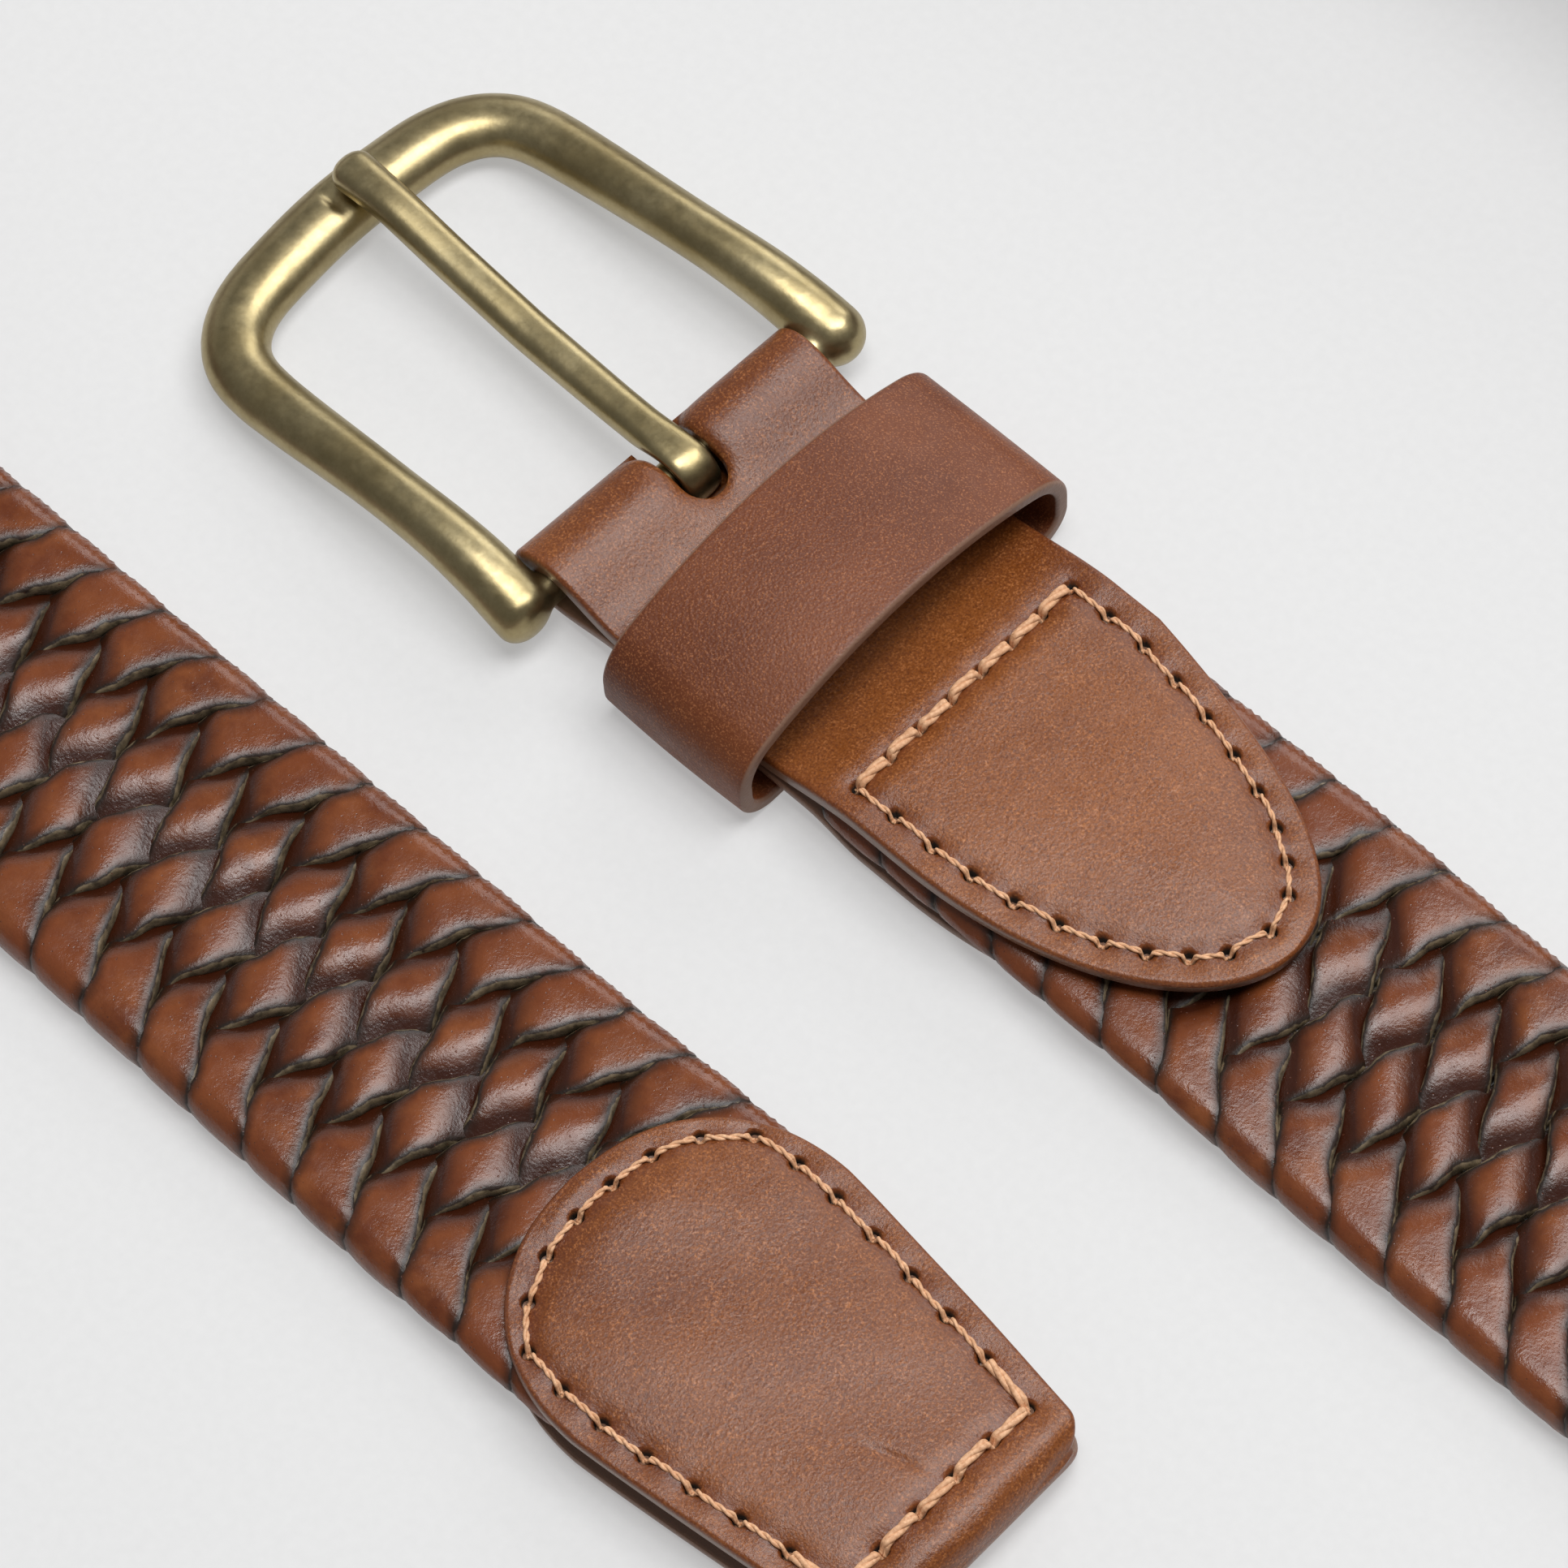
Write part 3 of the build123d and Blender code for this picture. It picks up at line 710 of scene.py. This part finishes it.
# ---- prong: a round tongue that thins and curls over the bar ----
PRONG_TIP_X = node_box("prong")[0][0]
PRONG_HALF_WIDTH = 2.1
PRONG_HALF_THICK = 1.6
# x and z of its middle line, from the tip to the bar
PRONG_LINE = [(-47.2, 6.45), (-45, 6.85), (-40, 7.15), (-32, 6.2)]
PRONG_LINE += [(-21, 5.4), (-9, 5.8), (-4, 6.2), (0, 6.45)]
# where it sits on the bar, and its drift sideways per millimetre
PRONG_Y, PRONG_TURN = 0.4, 0.036
CURL_INNER, CURL_OUTER = 2.06, 3.5


def make_prong(ring=28):
    """Rounded sections along the shank, then round the bar in the curl."""
    knots = np.array(PRONG_LINE)
    x = np.linspace(PRONG_TIP_X + 0.25, 0, 150)[:-1]
    z = np.interp(x, knots[:, 0], knots[:, 1])
    kernel = np.hanning(19)
    padded = np.concatenate([np.full(9, z[0]), z, np.full(9, z[-1])])
    z = np.convolve(padded, kernel / kernel.sum(), "valid")
    near_bar = blend_step(x, -5.5, 0)
    thick = PRONG_HALF_THICK * (1 - near_bar) + (CURL_OUTER - CURL_INNER) / 2 * near_bar
    z = z * (1 - near_bar) + (BAR_Z + (CURL_OUTER + CURL_INNER) / 2) * near_bar
    angle = np.radians(np.linspace(90, -150, 60))
    middle = (CURL_INNER + CURL_OUTER) / 2
    x = np.concatenate([x, middle * np.cos(angle)])
    z = np.concatenate([z, BAR_Z + middle * np.sin(angle)])
    thick = np.concatenate([thick, np.full(angle.size, (CURL_OUTER - CURL_INNER) / 2)])
    run = np.concatenate([[0], np.cumsum(np.hypot(np.diff(x), np.diff(z)))])
    wide_tip = 0.10 * np.exp(-((run - 1.5) / 3.5) ** 2)
    waist = 0.05 * np.exp(-((run - 42) / 9) ** 2)
    width = PRONG_HALF_WIDTH * (1 + wide_tip - waist)
    tip = np.clip(run / 1.9, 0, 1)
    tail = np.clip((run[-1] - run) / 0.9, 0, 1)
    cap = np.sqrt(1 - (1 - tip) ** 2 + 1e-3) * np.sqrt(1 - (1 - tail) ** 2 + 1e-3)
    dx, dz = np.gradient(x), np.gradient(z)
    length = np.hypot(dx, dz)
    nx, nz = -dz / length, dx / length
    turn = 2 * pi * np.arange(ring) / ring
    power = 2 / 2.4
    side = np.sign(np.cos(turn)) * np.abs(np.cos(turn)) ** power
    over = np.sign(np.sin(turn)) * np.abs(np.sin(turn)) ** power
    half = (thick * cap)[:, None] * over[None, :]
    px = x[:, None] + nx[:, None] * half
    pz = z[:, None] + nz[:, None] * half
    middle_y = PRONG_Y - PRONG_TURN * np.minimum(x, 0)
    py = middle_y[:, None] + (width * cap)[:, None] * side[None, :]
    points = np.stack([px, py, pz], -1).reshape(-1, 3)
    return new_object("brass_prong", points, tube_faces(len(x), ring), "prong")


brass_prong = make_prong()
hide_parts("prong")

# ---- stitches ----
PLY_RADIUS = 0.25
THICK_THREAD, THIN_THREAD = 1.28, 0.66  # buckle tab
TIP_THICK_THREAD, TIP_THIN_THREAD = 1.2, 0.72
BOBBIN_SINK = 0.25
BOBBIN_SIGN = -0.3  # the bobbin thread hangs a little below the leather
STITCH_GAP = 0.30  # from a hole's middle to where the thread comes up


def stitch(start, end, surface, index, size=1.0, sign=1.0, steps=26, ring=8):
    """One stitch from hole to hole: plies twisted together, arching over the leather."""
    (ax, ay), (bx, by) = start, end
    run = np.array([bx - ax, by - ay])
    length = np.linalg.norm(run)
    run /= length
    side = np.array([-run[1], run[0]])
    t = np.linspace(0, 1, steps)
    hop = blend_step(np.minimum(t, 1 - t) * length, STITCH_GAP, STITCH_GAP + 0.34)
    x = ax + (bx - ax) * t
    y = ay + (by - ay) * t
    bend = 0.18 * sin(2.4 * index) * np.sin(pi * t)
    x, y = x + side[0] * bend, y + side[1] * bend
    z = surface(x, y) + sign * (-1.25 + (1.12 + 0.24 * size) * hop)
    points, faces = [], []
    plies, twist = (3, 6.5) if size > 1 else (2, 2.6)
    for ply in range(plies):
        phase = 2 * pi * (t * length / twist + ply / plies) + index
        off = PLY_RADIUS * 0.8 * size
        cx = x + side[0] * off * np.cos(phase)
        cy = y + side[1] * off * np.cos(phase)
        cz = z + off * 0.8 * np.sin(phase)
        line = np.stack([cx, cy, cz], -1)
        tangent = np.gradient(line, axis=0)
        tangent /= np.linalg.norm(tangent, axis=1)[:, None]
        level = np.cross(tangent, [0, 0, 1.0])
        level /= np.linalg.norm(level, axis=1)[:, None]
        over = np.cross(level, tangent)
        turn = 2 * pi * np.arange(ring) / ring
        radius = PLY_RADIUS * size
        aside = level[:, None, :] * np.cos(turn)[None, :, None]
        upward = over[:, None, :] * np.sin(turn)[None, :, None]
        tube = line[:, None, :] + radius * (aside + upward)
        start_at = sum(len(p) for p in points)
        points.append(tube.reshape(-1, 3))
        faces += [tuple(np.array(f) + start_at) for f in tube_faces(steps, ring)]
    return np.concatenate(points), faces


def make_thread(name, lines, surface, y_middle, sign=1.0):
    """All the stitches on one side of a tab; lines are (holes, thread size)."""
    points, faces = [], []
    total = 0
    for holes, size in lines:
        for index, (start, end) in enumerate(zip(holes[:-1], holes[1:])):
            more, links = stitch(start, end, surface, index, size, sign)
            points.append(more)
            faces += [tuple(np.array(f) + total) for f in links]
            total += len(more)
    points = np.concatenate(points)
    if y_middle == 0:
        points = lopsided(points)
    points[:, 1] += y_middle
    return new_object(name, points, faces, "strap")


def on_top_of(piece, y_middle, fallback):
    """Height of a tab's upper face just beside the seam, read from its mesh."""
    tree = BVHTree.FromObject(piece, bpy.context.evaluated_depsgraph_get())

    def surface(x, y):
        """Highest point of the leather under one stitch."""
        heights = []
        for px, py in zip(x, y):
            start = Vector(to_row((px, py + y_middle, 30.0)))
            hit = tree.ray_cast(start, Vector((0, 0, -1)))[0]
            heights.append(fallback if hit is None else hit.z / MM)
        return np.full(x.shape, np.max(heights))

    return surface


def buckle_tab_lines():
    """Thick thread across the tab, thin thread round its pointed end."""
    cross, round_end = tab_seam()
    ring = [cross[-1]] + round_end + [cross[0]]
    return [(cross, THICK_THREAD), (ring, THIN_THREAD)]


def tip_tab_lines():
    """Thin thread round the tip tab, thick thread across its end."""
    ring = tip_seam()
    body = ring[:10]
    end = ring[9:17]
    rest = ring[16:] + ring[:1]
    return [(body, TIP_THIN_THREAD), (end, TIP_THICK_THREAD), (rest, TIP_THIN_THREAD)]


def under_of(height):
    """Height of a tab's flat underside, where the bobbin thread lies."""
    return lambda x, y: height + 0 * x + BOBBIN_SINK


threads = []
for tab, lines, top, foot, y_middle in (
    ("buckle_tab", buckle_tab_lines(), on_top_of(buckle_tab, 0.0, TAB_TOP), SEWN_FOOT, 0.0),
    ("tip_tab", tip_tab_lines(), on_top_of(tip_tab, TIP_Y, TIP_TOP), TIP_FOOT, TIP_Y),
):
    for kind, surface, sign in (("needle", top, 1.0), ("bobbin", under_of(foot), BOBBIN_SIGN)):
        thread = make_thread(f"{tab}_{kind}_stitches", lines, surface, y_middle, sign)
        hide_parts(f"{tab}_{kind}_thread")
        threads.append(thread)

# ---- materials ----
class Nodes:
    """Short calls for building a node material."""

    def __init__(self, name):
        """An empty material with one shader."""
        self.material = bpy.data.materials.new(name)
        self.material.use_nodes = True
        self.tree = self.material.node_tree
        self.tree.nodes.clear()
        self.output = self.add("ShaderNodeOutputMaterial")
        self.shader = self.add("ShaderNodeBsdfPrincipled")
        self.link(self.shader.outputs[0], self.output.inputs[0])
        self.place = self.add("ShaderNodeTexCoord").outputs["Object"]

    def add(self, kind, **settings):
        """A new node."""
        node = self.tree.nodes.new(kind)
        for key, value in settings.items():
            setattr(node, key, value)
        return node

    def link(self, source, socket):
        """Join an output to an input."""
        self.tree.links.new(source, socket)

    def put(self, socket, value):
        """Join an output, or set a number."""
        if isinstance(value, bpy.types.NodeSocket):
            self.link(value, socket)
        else:
            socket.default_value = value

    def noise(self, scale, detail=3.0, rough=0.55):
        """Soft noise, scale in waves per metre."""
        node = self.add("ShaderNodeTexNoise")
        self.link(self.place, node.inputs["Vector"])
        node.inputs["Scale"].default_value = scale
        node.inputs["Detail"].default_value = detail
        node.inputs["Roughness"].default_value = rough
        return node.outputs["Fac"]

    def cells(self, scale, feature="F1"):
        """Distance to the nearest of scattered points: pores, or pebble grain."""
        node = self.add("ShaderNodeTexVoronoi", feature=feature)
        self.link(self.place, node.inputs["Vector"])
        node.inputs["Scale"].default_value = scale
        return node.outputs["Distance"]

    def attribute(self, name):
        """One of the mesh's own numbers."""
        return self.add("ShaderNodeAttribute", attribute_name=name).outputs["Fac"]

    def math(self, operation, a, b):
        """One sum."""
        node = self.add("ShaderNodeMath", operation=operation)
        self.put(node.inputs[0], a)
        self.put(node.inputs[1], b)
        return node.outputs[0]

    def remap(self, value, low, high, to_low=0.0, to_high=1.0, smooth=False):
        """low to high becomes to_low to to_high, and no further."""
        kind = "SMOOTHSTEP" if smooth else "LINEAR"
        node = self.add("ShaderNodeMapRange", interpolation_type=kind)
        self.put(node.inputs[0], value)
        for socket, number in zip(node.inputs[1:5], (low, high, to_low, to_high)):
            self.put(socket, number)
        return node.outputs[0]

    def mix(self, factor, a, b):
        """From colour a to colour b."""
        node = self.add("ShaderNodeMix", data_type="RGBA")
        self.put(node.inputs[0], factor)
        for socket, value in ((node.inputs[6], a), (node.inputs[7], b)):
            self.put(socket, value if isinstance(value, bpy.types.NodeSocket) else (*value, 1.0))
        return node.outputs[2]

    def bump(self, height, strength, distance, normal=None):
        """Relief, distance in metres, on top of an earlier normal."""
        node = self.add("ShaderNodeBump")
        self.put(node.inputs["Height"], height)
        node.inputs["Strength"].default_value = strength
        node.inputs["Distance"].default_value = distance
        if normal:
            self.link(normal, node.inputs["Normal"])
        return node.outputs[0]

    def finish(self, color, roughness, normal=None, **fixed):
        """Fill the shader; fixed values go on its own sockets."""
        self.put(self.shader.inputs["Base Color"], color)
        self.put(self.shader.inputs["Roughness"], roughness)
        if normal:
            self.link(normal, self.shader.inputs["Normal"])
        for key, value in fixed.items():
            self.shader.inputs[key.replace("_", " ")].default_value = value
        return self.material


def plait_leather():
    """Glazed strands: painted shade where they dip under a crossing strand, dark-edged, with a raw
    cut at the border.
    """
    m = Nodes("plait_leather")
    edge, crest = m.attribute("edge"), m.attribute("crest")
    mottle = m.noise(260, 5, 0.62)
    broad = m.noise(70, 3)
    color = m.mix(m.remap(mottle, 0.35, 0.68), (0.105, 0.024, 0.007), (0.225, 0.068, 0.020))
    color = m.mix(m.remap(broad, 0.35, 0.7), color, (0.165, 0.042, 0.013))
    # painted shade: nearly black where a strand dips under the one crossing it
    color = m.mix(m.remap(crest, 0.97, 0.4, 0, 0.95), color, (0.030, 0.006, 0.002))
    ragged = m.math("ADD", edge, m.remap(m.noise(480, 3), 0.3, 0.7, -0.06, 0.06))
    color = m.mix(m.remap(ragged, 0.48, 0.88, 0, 0.75, True), color, (0.020, 0.007, 0.003))
    color = m.mix(m.remap(ragged, 0.80, 0.89, 0, 0.92, True), color, (0.013, 0.006, 0.003))
    raw = m.mix(m.remap(m.noise(900, 3), 0.35, 0.65), (0.050, 0.036, 0.019), (0.17, 0.125, 0.072))
    color = m.mix(m.remap(ragged, 0.925, 0.955, 0, 1, True), color, raw)
    pores = m.remap(m.cells(1500), 0.05, 0.16)
    color = m.mix(pores, (0.09, 0.025, 0.012), color)
    grain = m.noise(3600, 3, 0.6)
    creases = m.noise(1400, 2, 0.5)
    rough = m.remap(m.noise(420, 4), 0.3, 0.7, 0.17, 0.32)
    rough = m.math("ADD", rough, m.remap(edge, 0.7, 0.95, 0.0, 0.25))
    normal = m.bump(m.noise(420, 3), 0.16, 0.0003)
    normal = m.bump(m.math("ADD", grain, creases), 0.36, 0.0001, normal)
    normal = m.bump(pores, 0.35, 0.00008, normal)
    return m.finish(color, rough, normal, Specular_IOR_Level=0.48)


def tab_leather():
    """Glazed smooth leather with pale flecks; dark in the seam, and painted shade in the stitch
    holes.
    """
    m = Nodes("tab_leather")
    rim, pit, groove, cut = (m.attribute(n) for n in ("rim", "pit", "groove", "cut"))
    broad = m.noise(45, 3, 0.5)
    speckle = m.noise(4000, 4, 0.65)
    patches = m.noise(600, 3)
    color = m.mix(m.remap(broad, 0.35, 0.68), (0.135, 0.033, 0.005), (0.225, 0.066, 0.012))
    patchy = m.remap(patches, 0.35, 0.65, 0.2, 0.75)
    fleck = m.math("MULTIPLY", m.remap(speckle, 0.52, 0.66), patchy)
    color = m.mix(fleck, color, (0.50, 0.19, 0.06))
    color = m.mix(m.remap(speckle, 0.48, 0.34, 0, 0.7), color, (0.075, 0.017, 0.005))
    color = m.mix(m.remap(rim, 0.1, 0.9, 0, 0.45), color, (0.14, 0.036, 0.013))
    color = m.mix(m.remap(groove, 0.2, 1.0, 0, 0.55), color, (0.10, 0.022, 0.008))
    color = m.mix(m.remap(cut, 0.4, 0.9), color, (0.20, 0.105, 0.066))
    # painted shade: the stitch holes nearly black
    color = m.mix(m.remap(pit, 0.05, 0.4), color, (0.004, 0.002, 0.001))
    rough = m.remap(m.noise(300, 3), 0.3, 0.7, 0.26, 0.36)
    rough = m.math("ADD", rough, m.remap(pit, 0.1, 0.6, 0.0, 0.5))
    normal = m.bump(m.noise(160, 3), 0.25, 0.0006)
    normal = m.bump(m.noise(2600, 4, 0.65), 0.6, 0.00014, normal)
    return m.finish(color, rough, normal)


def keeper_leather():
    """Satin leather with a fine pebble grain."""
    m = Nodes("keeper_leather")
    rim, cut = m.attribute("rim"), m.attribute("cut")
    broad = m.noise(50, 3)
    speckle = m.noise(5200, 4, 0.65)
    color = m.mix(m.remap(broad, 0.35, 0.68), (0.110, 0.026, 0.007), (0.175, 0.047, 0.013))
    color = m.mix(m.remap(speckle, 0.52, 0.68, 0, 0.8), color, (0.40, 0.15, 0.055))
    color = m.mix(m.remap(rim, 0.2, 0.9, 0, 0.3), color, (0.10, 0.026, 0.012))
    color = m.mix(m.remap(cut, 0.3, 0.9), color, (0.21, 0.115, 0.075))
    pebble = m.cells(3600, "SMOOTH_F1")
    normal = m.bump(pebble, 0.5, 0.00009)
    normal = m.bump(m.noise(1500, 4, 0.6), 0.3, 0.0001, normal)
    rough = m.remap(m.noise(500, 3), 0.3, 0.7, 0.42, 0.52)
    return m.finish(color, rough, normal, Specular_IOR_Level=0.38)


def antique_brass():
    """Satin brass with patches of patina."""
    m = Nodes("antique_brass")
    wear = m.noise(120, 4)
    fine = m.noise(2200, 3, 0.6)
    color = m.mix(m.remap(wear, 0.35, 0.7), (0.33, 0.265, 0.135), (0.46, 0.385, 0.22))
    color = m.mix(m.remap(fine, 0.3, 0.7, 0.0, 0.35), color, (0.25, 0.19, 0.085))
    rough = m.remap(m.noise(700, 4), 0.3, 0.7, 0.31, 0.41)
    normal = m.bump(fine, 0.18, 0.00005)
    normal = m.bump(m.noise(300, 3), 0.06, 0.0002, normal)
    return m.finish(color, rough, normal, Metallic=1.0)


def staple_steel():
    """Plain wire."""
    m = Nodes("staple_steel")
    fine = m.noise(1800, 3)
    color = m.mix(m.remap(fine, 0.3, 0.7), (0.48, 0.46, 0.42), (0.60, 0.58, 0.55))
    rough = m.remap(fine, 0.3, 0.7, 0.25, 0.4)
    return m.finish(color, rough, m.bump(fine, 0.3, 0.00005), Metallic=1.0)


def waxed_thread():
    """Golden-brown thread."""
    m = Nodes("waxed_thread")
    fibre = m.noise(2600, 3, 0.6)
    broad = m.noise(260, 3)
    color = m.mix(m.remap(fibre, 0.3, 0.7), (0.50, 0.24, 0.115), (0.88, 0.54, 0.32))
    color = m.mix(m.remap(broad, 0.35, 0.65, 0, 0.4), color, (0.60, 0.30, 0.145))
    return m.finish(color, 0.62, m.bump(fibre, 0.6, 0.00008))


def give(pieces, material):
    """Pieces made here take one material."""
    for piece in pieces:
        piece.data.materials.clear()
        piece.data.materials.append(material)


def dress_node(node, material):
    """A carried-over CAD node keeps its shape and takes the material in its slots."""
    for slot in frame["nodes"][node].material_slots:
        slot.link = "OBJECT"
        slot.material = material


give(strands, plait_leather())
give([buckle_tab, tip_tab], tab_leather())
give([keeper], keeper_leather())
give(threads, waxed_thread())
brass = antique_brass()
give([brass_frame, brass_prong], brass)
dress_node("keeper_staples", staple_steel())


# ---- light, floor ----
LIGHT_AIM = (20, 0, 0)
KEY_POWER = 8.6
SOFTBOX_POWER = 5.0
BACK_CARD_POWER = 4.0
SIDE_CARD_POWER = 1.4
WORLD_LEVEL = 0.20
FLOOR_GLOW = 0.36


def area_light(name, place, size, power):
    """A white rectangular light, size in metres, turned to LIGHT_AIM."""
    data = bpy.data.lights.new(name, "AREA")
    data.shape = "RECTANGLE"
    data.size, data.size_y = size
    data.energy = power
    lamp = bpy.data.objects.new(name, data)
    lamp.location = Vector(to_row(place))
    aim = Vector(to_row(LIGHT_AIM)) - lamp.location
    lamp.rotation_euler = aim.to_track_quat("-Z", "Y").to_euler()
    bpy.context.scene.collection.objects.link(lamp)


def make_stage():
    """The pale table, the plain surroundings and the lights."""
    mesh = bpy.data.meshes.new("floor")
    reach = 3.0
    corners = [(-reach, -reach, 0), (reach, -reach, 0), (reach, reach, 0), (-reach, reach, 0)]
    mesh.from_pydata(corners, [], [(0, 1, 2, 3)])
    floor = bpy.data.objects.new("floor", mesh)
    bpy.context.scene.collection.objects.link(floor)
    paper = Nodes("floor_paper")
    grain = paper.noise(900, 4)
    shade = paper.mix(paper.remap(grain, 0.3, 0.7), (0.375, 0.375, 0.375), (0.395, 0.395, 0.395))
    paper.shader.inputs["Emission Color"].default_value = (1.0, 1.0, 1.0, 1.0)
    fixed = {"Emission_Strength": FLOOR_GLOW, "Specular_IOR_Level": 0.0}
    mesh.materials.append(paper.finish(shade, 1.0, paper.bump(grain, 0.1, 0.0001), **fixed))
    world = bpy.data.worlds.new("studio")
    world.use_nodes = True
    world.node_tree.nodes["Background"].inputs[0].default_value = (1.0, 1.0, 1.0, 1)
    world.node_tree.nodes["Background"].inputs[1].default_value = WORLD_LEVEL
    bpy.context.scene.world = world
    area_light("key", (280, 480, 1100), (0.7, 0.6), KEY_POWER)
    area_light("softbox", (20, 0, 1050), (0.4, 0.4), SOFTBOX_POWER)
    area_light("back_card", (-420, 1050, 650), (0.8, 0.5), BACK_CARD_POWER)
    area_light("side_card", (-1050, 300, 230), (1.6, 0.5), SIDE_CARD_POWER)
    bpy.context.scene.view_settings.view_transform = "Standard"


make_stage()
